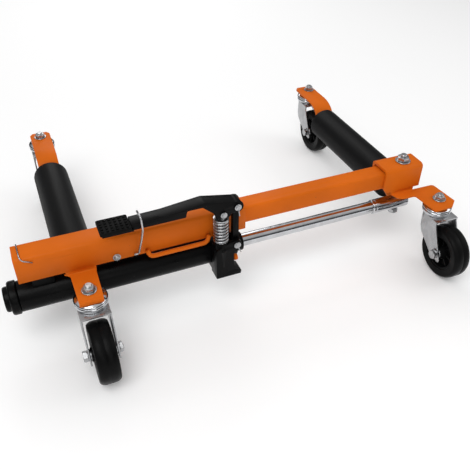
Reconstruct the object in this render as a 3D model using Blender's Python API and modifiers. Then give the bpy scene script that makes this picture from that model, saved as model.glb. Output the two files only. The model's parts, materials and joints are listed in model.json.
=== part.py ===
"""Hydraulic wheel dolly: a telescoping frame with two rollers, a foot pump and four casters.

Units are metres and +Z is up. X runs along the telescoping frame, with the right half on +X,
and the rollers reach back along +Y. The ground is z = 0. Coordinates are written in a layout
frame whose origin is the outer channel's left front edge, and at() moves them to the model's
frame, whose origin is the centre of the whole dolly's footprint.
"""
import math

import bmesh
import bpy
from mathutils import Matrix, Vector

MM = 0.001
GAP = 0.3 * MM                       # space left between solids that touch on the real dolly

# Footprint centre, in the layout frame
CENTRE_X = 370.0 * MM
CENTRE_Y = 167.75 * MM

# Frame members
FRAME_Y = 20 * MM                    # centre plane of both telescoping members
CHANNEL_LENGTH = 370 * MM
CHANNEL_WIDTH = 40 * MM
CHANNEL_BOTTOM = 141 * MM
CHANNEL_TOP = 186 * MM
SHEET = 3 * MM
TUBE_SIZE = 33 * MM
TUBE_WALL = 2.5 * MM
TUBE_LEFT = 260 * MM
TUBE_RIGHT = 718 * MM
TUBE_BOTTOM = 149 * MM
BRACKET_LEFT = 643 * MM
BRACKET_RIGHT = 721 * MM
BRACKET_SHEET = 5 * MM
BRACKET_FRONT = -2 * MM
BRACKET_BACK = 42 * MM
BRACKET_BOTTOM = 143 * MM
BRACKET_TOP = 190 * MM

# Rollers and the arms that carry them
ROLLER_Z = 97 * MM
ROLLER_RADIUS = 33 * MM
ROLLER_WALL = 3 * MM
ROLLER_FRONT = 80 * MM
ROLLER_BACK = 355 * MM
LEFT_ROLLER_X = 94.5 * MM
RIGHT_ROLLER_X = 723 * MM
AXLE_RADIUS = 8 * MM
LUG_FRONT = 53 * MM
LUG_BACK = 58 * MM
STRIP_FRONT = 357.5 * MM
STRIP_SHEET = 3.5 * MM
STRIP_END = 472 * MM

# Casters: pivot plates, swivel forks and wheels
PLATE_TOP = 136 * MM
PLATE_SHEET = 3 * MM
WHEEL_RADIUS = 50 * MM
WHEEL_WIDTH = 34 * MM
TRAIL = 48.5 * MM
FORK_HALF_WIDTH = 23.5 * MM
FORK_SHEET = 2.5 * MM
CROWN_TOP = 110 * MM
RACE_HEIGHT = 8.5 * MM
CUP_RADIUS = 27 * MM
KINGPIN_RADIUS = 6 * MM
CASTERS = {
    "front_left": (95.5 * MM, -46 * MM),
    "front_right": (737 * MM, -45 * MM),
    "rear_left": (94.5 * MM, 453 * MM),
    "rear_right": (733 * MM, 453 * MM),
}

# Hydraulics
RAM_Z = 100 * MM
CYLINDER_RADIUS = 25 * MM
BORE_RADIUS = 20 * MM
ROD_RADIUS = 11.5 * MM
SLEEVE_RADIUS = 13.5 * MM
CORNER_BOLT_X = 691 * MM
CORNER_BOLT_RADIUS = 6 * MM

# Foot pump, all of it in one plane in front of the channel
PUMP_Y = -18 * MM
PLUNGER_X = 319 * MM
BARREL_TOP = 146 * MM
PLUNGER_PIN_Z = 203.5 * MM
PEDAL_PIVOT = (343 * MM, 212.5 * MM)
LINK_FOOT = (343 * MM, 136 * MM)
VALVE_FACE = 337 * MM                # right side of the pump block, where the valve screws in
VALVE_Y = PUMP_Y - 3 * MM
VALVE_Z = 103 * MM
PEDAL_HALF_WIDTH = 11.5 * MM
SPRING_TURNS = 7.5
HOOK_PIVOT = (184 * MM, -3 * MM, 146 * MM)

# Colour, roughness and metallic value of each finish
FINISHES = {
    "orange_paint": ((0.62, 0.16, 0.02), 0.42, 0.0),
    "black_paint": ((0.012, 0.012, 0.013), 0.38, 0.0),
    "black_rubber": ((0.014, 0.014, 0.014), 0.72, 0.0),
    "black_plastic": ((0.016, 0.016, 0.017), 0.5, 0.0),
    "zinc_plate": ((0.62, 0.64, 0.66), 0.34, 1.0),
    "chrome": ((0.76, 0.77, 0.79), 0.12, 1.0),
    "spring_steel": ((0.6, 0.6, 0.6), 0.3, 1.0),
}

# Rotations that lay a flat outline's own X, Y and thickness along frame axes
ACROSS_X = Matrix(((0, 0, 1), (1, 0, 0), (0, 1, 0))).to_4x4()    # outline in Y and Z
ACROSS_Y = Matrix(((1, 0, 0), (0, 0, -1), (0, 1, 0))).to_4x4()   # outline in X and Z
ACROSS_Z = Matrix.Identity(4)                                     # outline in X and Y
TURN_AXES = {
    "X": Matrix(((0, 0, 1), (0, 1, 0), (-1, 0, 0))).to_4x4(),
    "Y": Matrix(((1, 0, 0), (0, 0, 1), (0, -1, 0))).to_4x4(),
    "Z": Matrix.Identity(4),
}


def at(x, y, z):
    """A layout position as a position in the model's frame."""
    return Vector((x - CENTRE_X, y - CENTRE_Y, z))


# ---------------------------------------------------------------- scene and collections

def start_scene():
    for obj in list(bpy.data.objects):
        bpy.data.objects.remove(obj, do_unlink=True)
    parts = bpy.data.collections.new("wheel_dolly")
    cutters = bpy.data.collections.new("cutters")
    cutters.hide_render = True
    bpy.context.scene.collection.children.link(parts)
    bpy.context.scene.collection.children.link(cutters)
    return parts, cutters


PARTS, CUTTERS = start_scene()


def joint_empty(name, position, parent=None):
    """An empty on a joint's axis, which carries the pieces that the joint moves."""
    empty = bpy.data.objects.new(name, None)
    empty.empty_display_size = 0.02
    PARTS.objects.link(empty)
    empty.matrix_world = Matrix.Translation(position)
    if parent is not None:
        carry(parent, empty)
    return empty


def carry(parent, child):
    """Parent the child and keep it where it stands."""
    bpy.context.view_layer.update()
    child.parent = parent
    child.matrix_parent_inverse = parent.matrix_world.inverted()


def finish(obj, look, parent):
    """Make the object a part: its own material, its collection and its parent."""
    colour, roughness, metallic = FINISHES[look]
    material = bpy.data.materials.new(obj.name + "_" + look)
    material.use_nodes = True
    shader = material.node_tree.nodes["Principled BSDF"]
    shader.inputs["Base Color"].default_value = (*colour, 1.0)
    shader.inputs["Roughness"].default_value = roughness
    shader.inputs["Metallic"].default_value = metallic
    obj.data.materials.clear()
    obj.data.materials.append(material)
    CUTTERS.objects.unlink(obj)
    PARTS.objects.link(obj)
    obj.display_type = "TEXTURED"
    carry(parent, obj)
    return obj


def tool_object(name, data, matrix):
    """A new object among the cutters, until finish() makes it a part."""
    obj = bpy.data.objects.new(name, data)
    obj.matrix_world = matrix
    obj.display_type = "WIRE"
    CUTTERS.objects.link(obj)
    return obj


def combine(target, tool, operation):
    modifier = target.modifiers.new(operation.lower() + "_" + tool.name, "BOOLEAN")
    modifier.operation = operation
    modifier.object = tool


def join(target, *tools):
    for tool in tools:
        combine(target, tool, "UNION")


def cut(target, *tools):
    for tool in tools:
        combine(target, tool, "DIFFERENCE")


# ---------------------------------------------------------------- shapes

def box(name, low, high):
    """A box between two opposite corners."""
    low, high = at(*low), at(*high)
    mesh = bpy.data.meshes.new(name)
    bm = bmesh.new()
    bmesh.ops.create_cube(bm, size=1.0, matrix=Matrix.Diagonal((*(high - low), 1.0)))
    bm.to_mesh(mesh)
    bm.free()
    return tool_object(name, mesh, Matrix.Translation((low + high) / 2))


def rod(name, radius, start, end, axis, sides=16):
    """A round or polygonal bar along a frame axis, between two points that share that axis."""
    start, end = at(*start), at(*end)
    mesh = bpy.data.meshes.new(name)
    bm = bmesh.new()
    bmesh.ops.create_cone(bm, cap_ends=True, segments=sides, radius1=radius, radius2=radius,
                          depth=(end - start).length)
    bm.to_mesh(mesh)
    bm.free()
    return tool_object(name, mesh, Matrix.Translation((start + end) / 2) @ TURN_AXES[axis])


def turned(name, profile, position, axis, steps=20):
    """A lathe-turned solid: radius and height points, from the axis or around a closed ring."""
    mesh = bpy.data.meshes.new(name)
    bm = bmesh.new()
    points = [bm.verts.new((radius, 0, height)) for radius, height in profile]
    for first, second in zip(points, points[1:]):
        bm.edges.new((first, second))
    if profile[0][0] > 0:
        bm.edges.new((points[-1], points[0]))
    bm.to_mesh(mesh)
    bm.free()
    obj = tool_object(name, mesh, Matrix.Translation(at(*position)) @ TURN_AXES[axis])
    screw = obj.modifiers.new("turn", "SCREW")
    screw.steps = steps
    screw.render_steps = steps
    screw.use_merge_vertices = True
    screw.merge_threshold = 0.00001
    return obj


def rounded(corners, arc_steps=3):
    """A closed outline whose (u, v, radius) corners are rounded to their radius."""
    outline = []
    for index, (u, v, radius) in enumerate(corners):
        corner = Vector((u, v))
        if radius == 0:
            outline.append(corner)
            continue
        before = (Vector(corners[index - 1][:2]) - corner).normalized()
        after = (Vector(corners[(index + 1) % len(corners)][:2]) - corner).normalized()
        half_angle = before.angle(after) / 2
        centre = corner + (before + after).normalized() * radius / math.sin(half_angle)
        start = corner + before * radius / math.tan(half_angle) - centre
        turn = start.angle_signed(corner + after * radius / math.tan(half_angle) - centre)
        for step in range(arc_steps + 1):
            outline.append(centre + Matrix.Rotation(-turn * step / arc_steps, 2) @ start)
    return outline


def slab(name, outline, low, high, lie):
    """A flat outline made as thick as the stretch from low to high, across one frame axis."""
    curve = bpy.data.curves.new(name, "CURVE")
    curve.dimensions = "2D"
    curve.fill_mode = "BOTH"
    curve.extrude = (high - low) / 2
    spline = curve.splines.new("POLY")
    spline.points.add(len(outline) - 1)
    for point, (u, v) in zip(spline.points, outline):
        point.co = (u, v, 0, 1)
    spline.use_cyclic_u = True
    middle = (low + high) / 2
    offset = {0: at(middle, 0, 0), 1: at(0, middle, 0), 2: at(0, 0, middle)}
    across = next(i for i, lay in enumerate((ACROSS_X, ACROSS_Y, ACROSS_Z)) if lay is lie)
    shape = tool_object(name + "_outline", curve, Matrix.Translation(offset[across]) @ lie)
    return as_mesh(shape, name)


def as_mesh(shape, name):
    """The curve object as a closed mesh object, with its caps welded on."""
    bpy.context.view_layer.update()
    depsgraph = bpy.context.evaluated_depsgraph_get()
    mesh = bpy.data.meshes.new_from_object(shape.evaluated_get(depsgraph))
    bm = bmesh.new()
    bm.from_mesh(mesh)
    bmesh.ops.remove_doubles(bm, verts=bm.verts, dist=0.000001)
    bmesh.ops.recalc_face_normals(bm, faces=bm.faces)
    bm.to_mesh(mesh)
    bm.free()
    obj = tool_object(name, mesh, shape.matrix_world.copy())
    bpy.data.objects.remove(shape, do_unlink=True)
    return obj


def bent(points, radius, arc_steps=3):
    """The route of a bent wire: its corner points, each rounded by a smooth curve."""
    corners = [at(*point) for point in points]
    route = [corners[0]]
    for before, corner, after in zip(corners, corners[1:], corners[2:]):
        enter = corner + (before - corner).normalized() * radius
        leave = corner + (after - corner).normalized() * radius
        for step in range(arc_steps + 1):
            t = step / arc_steps
            route.append(enter * (1 - t) ** 2 + corner * 2 * t * (1 - t) + leave * t ** 2)
    route.append(corners[-1])
    return route


def wire(name, route, radius):
    """A round wire or bar along a route of points in the model's frame."""
    curve = bpy.data.curves.new(name, "CURVE")
    curve.dimensions = "3D"
    curve.bevel_depth = radius
    curve.bevel_resolution = 2
    curve.use_fill_caps = True
    spline = curve.splines.new("POLY")
    spline.points.add(len(route) - 1)
    for point, position in zip(spline.points, route):
        point.co = (*position, 1)
    return tool_object(name, curve, Matrix.Identity(4))


def stacked(outline_steps, bottom):
    """A turned profile from (radius, height) steps listed from the bottom up, closed on the axis."""
    profile = [(0, bottom)]
    level = bottom
    for radius, height in outline_steps:
        profile += [(radius, level), (radius, level + height)]
        level += height
    profile.append((0, level))
    return profile[::-1]


# ---------------------------------------------------------------- frame

def sheet_channel(name, left, right, front, back, bottom, top, sheet):
    """An inverted U of bent sheet, with rounded bends."""
    outline = rounded([
        (front, bottom, 0), (front + sheet, bottom, 0),
        (front + sheet, top - sheet, 2 * MM), (back - sheet, top - sheet, 2 * MM),
        (back - sheet, bottom, 0), (back, bottom, 0),
        (back, top, sheet + 2 * MM), (front, top, sheet + 2 * MM),
    ])
    return slab(name, outline, left, right, ACROSS_X)


def pivot_hole(name, caster):
    x, y = CASTERS[caster]
    return rod(name, KINGPIN_RADIUS + 0.4 * MM, (x, y, PLATE_TOP - 20 * MM),
               (x, y, PLATE_TOP + 5 * MM), "Z", 12)


def make_outer_channel(parent):
    channel = sheet_channel("outer_channel", 0, CHANNEL_LENGTH, 0, CHANNEL_WIDTH,
                            CHANNEL_BOTTOM, CHANNEL_TOP, SHEET)
    inner = SHEET - 0.1 * MM
    flap_front = -66 * MM
    flap = slab("caster_flap", rounded([
        (67 * MM, inner, 0), (75 * MM, -3 * MM, 6 * MM), (76 * MM, flap_front, 0),
        (113 * MM, flap_front, 0), (115 * MM, -6 * MM, 3 * MM), (117 * MM, inner, 0),
    ]), PLATE_TOP - PLATE_SHEET, PLATE_TOP, ACROSS_Z)
    web = box("flap_web", (69 * MM, 0.1 * MM, PLATE_TOP - 2 * MM),
              (116.5 * MM, inner, CHANNEL_BOTTOM + 2 * MM))
    lip = box("flap_lip", (76.2 * MM, flap_front - 2.2 * MM, PLATE_TOP - 9.5 * MM),
              (112.8 * MM, flap_front + 0.2 * MM, PLATE_TOP - 0.4 * MM))
    join(channel, flap, web, lip)
    cut(channel, pivot_hole("front_left_hole", "front_left"))
    finish(channel, "orange_paint", parent)


def make_loop_handle(parent):
    reach = -4.2 * MM
    low, high = 135 * MM, 149 * MM
    left, right = 202 * MM, 300 * MM
    route = bent([(left - 3 * MM, reach, high), (left, reach, low),
                  (right, reach, low), (right + 3 * MM, reach, high)], 8 * MM)
    finish(wire("loop_handle", route, 3.8 * MM), "orange_paint", parent)


def make_side_screw(parent):
    """A domed screw head on the channel's front face, turned pointing forwards."""
    head = turned("side_screw", stacked([(3.4 * MM, 0.8 * MM), (4.6 * MM, 2.4 * MM),
                                         (6.5 * MM, 1 * MM)], -GAP - 4.2 * MM),
                  (150 * MM, 0, 147 * MM), "Y", 12)
    finish(head, "zinc_plate", parent)


def make_end_clip(parent):
    """The small spring wire across the channel's left end."""
    lift = CHANNEL_TOP + 1.4 * MM
    route = bent([(9 * MM, 37 * MM, lift), (10 * MM, 1.5 * MM, lift + 1 * MM),
                  (13 * MM, -1.6 * MM, CHANNEL_TOP - 2 * MM),
                  (27 * MM, -1.6 * MM, CHANNEL_TOP - 9 * MM)], 3 * MM)
    finish(wire("end_clip", route, 1.0 * MM), "spring_steel", parent)


def make_inner_tube(parent):
    front, back = FRAME_Y - TUBE_SIZE / 2, FRAME_Y + TUBE_SIZE / 2
    top = TUBE_BOTTOM + TUBE_SIZE
    outer = rounded([(front, TUBE_BOTTOM, 4 * MM), (back, TUBE_BOTTOM, 4 * MM),
                     (back, top, 4 * MM), (front, top, 4 * MM)])
    hollow = rounded([(front + TUBE_WALL, TUBE_BOTTOM + TUBE_WALL, 2 * MM),
                      (back - TUBE_WALL, TUBE_BOTTOM + TUBE_WALL, 2 * MM),
                      (back - TUBE_WALL, top - TUBE_WALL, 2 * MM),
                      (front + TUBE_WALL, top - TUBE_WALL, 2 * MM)])
    tube = slab("inner_tube", outer, TUBE_LEFT, TUBE_RIGHT, ACROSS_X)
    cut(tube, slab("tube_hollow", hollow, TUBE_LEFT - 5 * MM, TUBE_RIGHT + 5 * MM, ACROSS_X),
        corner_hole("tube_bolt_hole"))
    finish(tube, "orange_paint", parent)


def corner_hole(name):
    return rod(name, CORNER_BOLT_RADIUS + 0.4 * MM, (CORNER_BOLT_X, FRAME_Y, 60 * MM),
               (CORNER_BOLT_X, FRAME_Y, 220 * MM), "Z")


def make_corner_bracket(parent):
    """The right corner: a short U over the inner tube, with its front leg bent out to a flap."""
    bracket = sheet_channel("corner_bracket", BRACKET_LEFT, BRACKET_RIGHT, BRACKET_FRONT,
                            BRACKET_BACK, BRACKET_BOTTOM, BRACKET_TOP, BRACKET_SHEET)
    front, back = BRACKET_FRONT + 0.1 * MM, BRACKET_FRONT + BRACKET_SHEET - 0.1 * MM
    low = PLATE_TOP - PLATE_SHEET
    neck = slab("bracket_neck", [
        (BRACKET_LEFT + 10 * MM, 155 * MM), (BRACKET_LEFT + 13 * MM, 144 * MM),
        (669 * MM, low + 0.2 * MM), (709 * MM, low + 0.2 * MM), (709 * MM, 155 * MM),
    ], front, back, ACROSS_Y)
    flap = slab("bracket_flap", rounded([
        (664 * MM, back - 0.2 * MM, 0), (668 * MM, -12 * MM, 4 * MM), (679 * MM, -19 * MM, 4 * MM),
        (703 * MM, -20 * MM, 4 * MM), (708 * MM, -74 * MM, 3 * MM), (744 * MM, -74 * MM, 2 * MM),
        (760 * MM, -60 * MM, 3 * MM), (755 * MM, -2 * MM, 6 * MM), (710 * MM, -1 * MM, 0),
        (709.2 * MM, back - 0.2 * MM, 0),
    ]), low, PLATE_TOP, ACROSS_Z)
    corner = slab("bracket_corner", [
        (BRACKET_LEFT - 5 * MM, 130 * MM), (662 * MM, 130 * MM), (BRACKET_LEFT - 5 * MM, 157 * MM),
    ], BRACKET_FRONT - 5 * MM, BRACKET_FRONT + 7 * MM, ACROSS_Y)
    join(bracket, neck, flap)
    cut(bracket, corner, corner_hole("bracket_bolt_hole"),
        pivot_hole("front_right_hole", "front_right"))
    finish(bracket, "orange_paint", parent)


def make_corner_bolt(parent):
    """The long bolt that ties the bracket, the tube and the rod end together, with its nuts."""
    x, y = CORNER_BOLT_X, FRAME_Y
    tip = 75 * MM
    top, bottom = BRACKET_TOP + GAP, RAM_Z - SLEEVE_RADIUS - GAP
    bolt = turned("corner_bolt", stacked([(CORNER_BOLT_RADIUS, bottom - tip),
                                          (CORNER_BOLT_RADIUS, top - bottom),
                                          (14 * MM, 1.8 * MM), (CORNER_BOLT_RADIUS, 12 * MM)],
                                         tip), (x, y, 0), "Z", 12)
    upper = rod("corner_nut_top", 11 * MM, (x, y, top + 1 * MM), (x, y, top + 10 * MM), "Z", 6)
    lower = rod("corner_nut_bottom", 10 * MM, (x, y, bottom - 8.5 * MM), (x, y, bottom), "Z", 6)
    join(bolt, upper, lower)
    finish(bolt, "zinc_plate", parent)


# ---------------------------------------------------------------- roller arms

def make_lug(name, roller_x, left, right, top, weld_y, parent):
    """The plate that hangs behind a frame member and holds a roller axle's front end."""
    boss = 17 * MM
    outline = rounded([
        (left, top, 2 * MM), (left, top - 20 * MM, 6 * MM),
        (roller_x - boss, ROLLER_Z - boss, 15 * MM), (roller_x + boss, ROLLER_Z - boss, 15 * MM),
        (max(right, roller_x + boss), top - 24 * MM, 6 * MM), (right, top, 2 * MM),
    ])
    lug = slab(name, outline, LUG_FRONT, LUG_BACK, ACROSS_Y)
    web = box(name + "_web", (left + 1 * MM, weld_y + GAP, top - 14 * MM),
              (right - 1 * MM, LUG_FRONT + 2 * MM, top - 6 * MM))
    join(lug, web)
    cut(lug, rod(name + "_hole", AXLE_RADIUS + 0.3 * MM,
                 (roller_x, LUG_FRONT - 5 * MM, ROLLER_Z),
                 (roller_x, LUG_BACK + 5 * MM, ROLLER_Z), "Y"))
    finish(lug, "orange_paint", parent)


def make_roller_axle(name, x, parent):
    """A fixed axle with a head before the lug, a nut behind the strip, and spacer collars."""
    front, back = LUG_FRONT - GAP, STRIP_FRONT + STRIP_SHEET + GAP
    axle = rod(name, AXLE_RADIUS, (x, front - 6 * MM, ROLLER_Z), (x, back + 7 * MM, ROLLER_Z), "Y")
    head = rod(name + "_head", 12.5 * MM, (x, front - 6.4 * MM, ROLLER_Z),
               (x, front, ROLLER_Z), "Y", 6)
    nut = rod(name + "_nut", 12 * MM, (x, back, ROLLER_Z), (x, back + 5 * MM, ROLLER_Z), "Y", 6)
    collar = rod(name + "_collar", 11.5 * MM, (x, LUG_BACK + GAP, ROLLER_Z),
                 (x, ROLLER_FRONT - 0.6 * MM, ROLLER_Z), "Y")
    join(axle, head, nut, collar)
    finish(axle, "zinc_plate", parent)


def make_roller(side, x, empty):
    """The roller tube, and inside it the spool whose two ends turn on the axle."""
    length = ROLLER_BACK - ROLLER_FRONT
    inner, edge = ROLLER_RADIUS - ROLLER_WALL, 2 * MM
    start = (x, ROLLER_FRONT, ROLLER_Z)
    tube = turned(side + "_roller", [
        (ROLLER_RADIUS - edge, length), (ROLLER_RADIUS, length - edge), (ROLLER_RADIUS, edge),
        (ROLLER_RADIUS - edge, 0), (inner, 0), (inner, length),
    ], start, "Y", 24)
    disc, bore, sleeve, inset = 9 * MM, AXLE_RADIUS + 0.4 * MM, 12 * MM, 1 * MM
    core = turned(side + "_roller_core", [
        (inner - GAP, length - inset), (inner - GAP, length - disc), (sleeve, length - disc),
        (sleeve, disc), (inner - GAP, disc), (inner - GAP, inset), (bore, inset),
        (bore, length - inset),
    ], start, "Y", 16)
    finish(tube, "black_rubber", empty)
    finish(core, "black_plastic", empty)


def make_rear_strip(name, roller_x, left, right, caster, parent):
    """The flat strip that curves up from the roller's rear end and back over the rear caster."""
    foot, bend_low = ROLLER_Z - 16 * MM, ROLLER_Z + 13 * MM
    depth, rise = 45 * MM, PLATE_TOP - bend_low
    steps = 6
    outer, inner = [], []
    for step in range(steps + 1):
        angle = math.pi / 2 * step / steps
        point = Vector((STRIP_FRONT + depth * (1 - math.cos(angle)),
                        bend_low + rise * math.sin(angle)))
        normal = Vector((rise * math.cos(angle), -depth * math.sin(angle))).normalized()
        outer.append(point)
        inner.append(point + normal * STRIP_SHEET)
    outline = [Vector((STRIP_FRONT, foot))] + outer + [Vector((STRIP_END, PLATE_TOP))]
    outline += [Vector((STRIP_END, PLATE_TOP - STRIP_SHEET))] + inner[::-1]
    outline += [Vector((STRIP_FRONT + STRIP_SHEET, foot))]
    strip = slab(name, outline, left, right, ACROSS_X)
    corner = 9 * MM
    corners = []
    for label, edge, reach in (("left", left - 1 * MM, corner), ("right", right + 1 * MM, -corner)):
        corners.append(slab(name + "_corner_" + label, [
            (edge, STRIP_END - corner), (edge, STRIP_END + 5 * MM),
            (edge + reach, STRIP_END + 5 * MM), (edge + reach * 0.72, STRIP_END),
        ], PLATE_TOP - 20 * MM, PLATE_TOP + 10 * MM, ACROSS_Z))
    hole = rod(name + "_hole", AXLE_RADIUS + 0.3 * MM, (roller_x, STRIP_FRONT - 5 * MM, ROLLER_Z),
               (roller_x, STRIP_FRONT + 10 * MM, ROLLER_Z), "Y")
    cut(strip, hole, pivot_hole(name + "_pivot_hole", caster), *corners)
    finish(strip, "orange_paint", parent)


# ---------------------------------------------------------------- casters

def make_caster(caster, base):
    """One caster: kingpin and top cup on the frame, then a swivel fork with its wheel."""
    x, y = CASTERS[caster]
    under_plate = PLATE_TOP - STRIP_SHEET - GAP
    crown_low = CROWN_TOP - FORK_SHEET
    kingpin = turned(caster + "_kingpin", stacked([
        (9 * MM, 5 * MM), (KINGPIN_RADIUS, PLATE_TOP + GAP - crown_low + GAP),
        (12 * MM, 1.5 * MM), (KINGPIN_RADIUS, 9.5 * MM),
    ], crown_low - GAP - 5 * MM), (x, y, 0), "Z", 12)
    nut_low = PLATE_TOP + GAP + 1 * MM
    join(kingpin, rod(caster + "_nut", 9.8 * MM, (x, y, nut_low),
                      (x, y, nut_low + 7.5 * MM), "Z", 6))
    finish(kingpin, "zinc_plate", base)

    bore = KINGPIN_RADIUS + 0.4 * MM
    cup_low = CROWN_TOP + RACE_HEIGHT + GAP
    cup = turned(caster + "_top_cup", [
        (bore, under_plate), (19.3 * MM, under_plate), (19.3 * MM, cup_low + 7.2 * MM),
        (CUP_RADIUS - 2 * MM, cup_low + 4.6 * MM),
        (CUP_RADIUS, cup_low + 2.2 * MM), (CUP_RADIUS, cup_low), (bore, cup_low),
    ], (x, y, 0), "Z", 16)
    finish(cup, "chrome", base)

    swivel = joint_empty(caster + "_swivel", at(x, y, CROWN_TOP), base)
    make_fork(caster, x, y, swivel)
    wheel_y = y - TRAIL
    axle = rod(caster + "_axle", 5 * MM, (x - FORK_HALF_WIDTH - 8 * MM, wheel_y, WHEEL_RADIUS),
               (x + FORK_HALF_WIDTH + 7.5 * MM, wheel_y, WHEEL_RADIUS), "X", 10)
    for end, side, reach in (("bolt_head", -1, 7.5 * MM), ("nut", 1, 6 * MM)):
        face = x + side * (FORK_HALF_WIDTH + GAP)
        tip = face + side * reach
        join(axle, rod(caster + "_" + end, 9 * MM, (min(face, tip), wheel_y, WHEEL_RADIUS),
                       (max(face, tip), wheel_y, WHEEL_RADIUS), "X", 6))
    finish(axle, "zinc_plate", swivel)

    wheel = joint_empty(caster + "_wheel", at(x, wheel_y, WHEEL_RADIUS), swivel)
    half, rim = WHEEL_WIDTH / 2, 32.5 * MM
    tyre_half = [(rim, half - 1 * MM), (WHEEL_RADIUS - 4 * MM, half), (WHEEL_RADIUS, half - 6 * MM)]
    tyre = turned(caster + "_tyre", tyre_half + [(r, -h) for r, h in tyre_half[::-1]],
                  (x, wheel_y, WHEEL_RADIUS), "X", 20)
    finish(tyre, "black_rubber", wheel)
    boss = FORK_HALF_WIDTH - FORK_SHEET - 1 * MM
    hub_half = [(5.5 * MM, boss), (12 * MM, boss), (12 * MM, 8 * MM), (rim - 1 * MM, 8 * MM)]
    hub = turned(caster + "_hub", hub_half + [(r, -h) for r, h in hub_half[::-1]],
                 (x, wheel_y, WHEEL_RADIUS), "X", 16)
    finish(hub, "black_plastic", wheel)


def crown_plan(name, x, y, inset, low, high):
    """The fork's outline seen from above, open to the front and round at the back."""
    half, back = FORK_HALF_WIDTH - inset, y + 19 * MM - inset
    return slab(name, rounded([
        (x - half, y - 80 * MM, 0), (x + half, y - 80 * MM, 0),
        (x + half, back, half * 0.85), (x - half, back, half * 0.85),
    ], 4), low, high, ACROSS_Z)


def make_fork(caster, x, y, swivel):
    """Two legs and a round-backed crown pressed from one sheet, with the lower ball race on top."""
    side = rounded([
        (y + 25 * MM, CROWN_TOP, 0), (y + 25 * MM, 98 * MM, 0), (y + 13 * MM, 90 * MM, 8 * MM),
        (y + 1 * MM, 70 * MM, 16 * MM), (y - TRAIL + 13 * MM, 42 * MM, 6 * MM),
        (y - TRAIL - 17 * MM, 36 * MM, 4 * MM), (y - 33 * MM, 102 * MM, 6 * MM),
        (y - 33 * MM, CROWN_TOP, 0),
    ], 2)
    fork = slab(caster + "_fork", side, x - FORK_HALF_WIDTH - 1 * MM, x + FORK_HALF_WIDTH + 1 * MM,
                ACROSS_X)
    combine(fork, crown_plan(caster + "_crown", x, y, 0, 20 * MM, 130 * MM), "INTERSECT")
    race = rod(caster + "_race", 23 * MM, (x, y, CROWN_TOP - 1 * MM),
               (x, y, CROWN_TOP + RACE_HEIGHT), "Z", 16)
    hole = rod(caster + "_fork_hole", KINGPIN_RADIUS + 0.4 * MM, (x, y, CROWN_TOP - 10 * MM),
               (x, y, CROWN_TOP + 10 * MM), "Z", 12)
    axle_hole = rod(caster + "_axle_hole", 5.4 * MM, (x - 40 * MM, y - TRAIL, WHEEL_RADIUS),
                    (x + 40 * MM, y - TRAIL, WHEEL_RADIUS), "X", 10)
    cut(fork, crown_plan(caster + "_fork_gap", x, y, FORK_SHEET, 0, CROWN_TOP - FORK_SHEET))
    join(fork, race)
    cut(fork, hole, axle_hole)
    finish(fork, "zinc_plate", swivel)


# ---------------------------------------------------------------- hydraulic ram

def make_cylinder(parent):
    centre = (0, FRAME_Y, RAM_Z)
    left, right = -6 * MM, 350 * MM
    tube = turned("cylinder_tube", [(BORE_RADIUS, right), (CYLINDER_RADIUS, right),
                                    (CYLINDER_RADIUS, left), (BORE_RADIUS, left)], centre, "X", 24)
    finish(tube, "black_paint", parent)

    spigot = BORE_RADIUS - GAP
    cap = turned("cylinder_end_cap", stacked([
        (20.5 * MM, 8 * MM), (27.5 * MM, 14 * MM - GAP), (spigot, 14 * MM),
    ], -28 * MM), centre, "X", 24)
    finish(cap, "black_paint", parent)

    bore = ROD_RADIUS + 0.35 * MM
    gland = turned("gland_nut", [
        (bore, 370 * MM), (17 * MM, 370 * MM), (17 * MM, 357 * MM), (22 * MM, 357 * MM),
        (22 * MM, right + GAP), (spigot, right + GAP), (spigot, 332 * MM), (bore, 332 * MM),
    ], centre, "X", 16)
    finish(gland, "black_paint", parent)

    saddle = box("cylinder_saddle", (18 * MM, 6 * MM, RAM_Z + 12 * MM),
                 (52 * MM, 34 * MM, CHANNEL_BOTTOM + 6 * MM))
    cut(saddle, rod("saddle_seat", CYLINDER_RADIUS + GAP, (0, FRAME_Y, RAM_Z),
                    (70 * MM, FRAME_Y, RAM_Z), "X", 24))
    finish(saddle, "black_paint", parent)


def make_ram(parent):
    centre = (0, FRAME_Y, RAM_Z)
    piston_left, piston_right = 306 * MM, 322 * MM
    sleeve_left, sleeve_right = 637 * MM, 716 * MM
    rod_right = sleeve_left + 14 * MM
    shaft = rod("piston_rod", ROD_RADIUS, (300 * MM, FRAME_Y, RAM_Z), (rod_right, FRAME_Y, RAM_Z),
                "X", 20)
    finish(shaft, "chrome", parent)
    seat = ROD_RADIUS + GAP
    piston = turned("piston", [(seat, piston_right), (BORE_RADIUS - GAP, piston_right),
                               (BORE_RADIUS - GAP, piston_left), (seat, piston_left)],
                    centre, "X", 16)
    finish(piston, "zinc_plate", parent)
    sleeve = turned("rod_end_sleeve", [
        (0, sleeve_right), (SLEEVE_RADIUS, sleeve_right), (SLEEVE_RADIUS, sleeve_left),
        (seat, sleeve_left),
        (seat, rod_right + GAP), (0, rod_right + GAP),
    ], centre, "X", 20)
    cut(sleeve, corner_hole("sleeve_bolt_hole"))
    finish(sleeve, "chrome", parent)


# ---------------------------------------------------------------- foot pump

def across_pump(name, radius, point, half_length, sides=12):
    """A round bar through the pump's plane, along Y."""
    x, z = point
    return rod(name, radius, (x, PUMP_Y - half_length, z), (x, PUMP_Y + half_length, z), "Y", sides)


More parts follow.
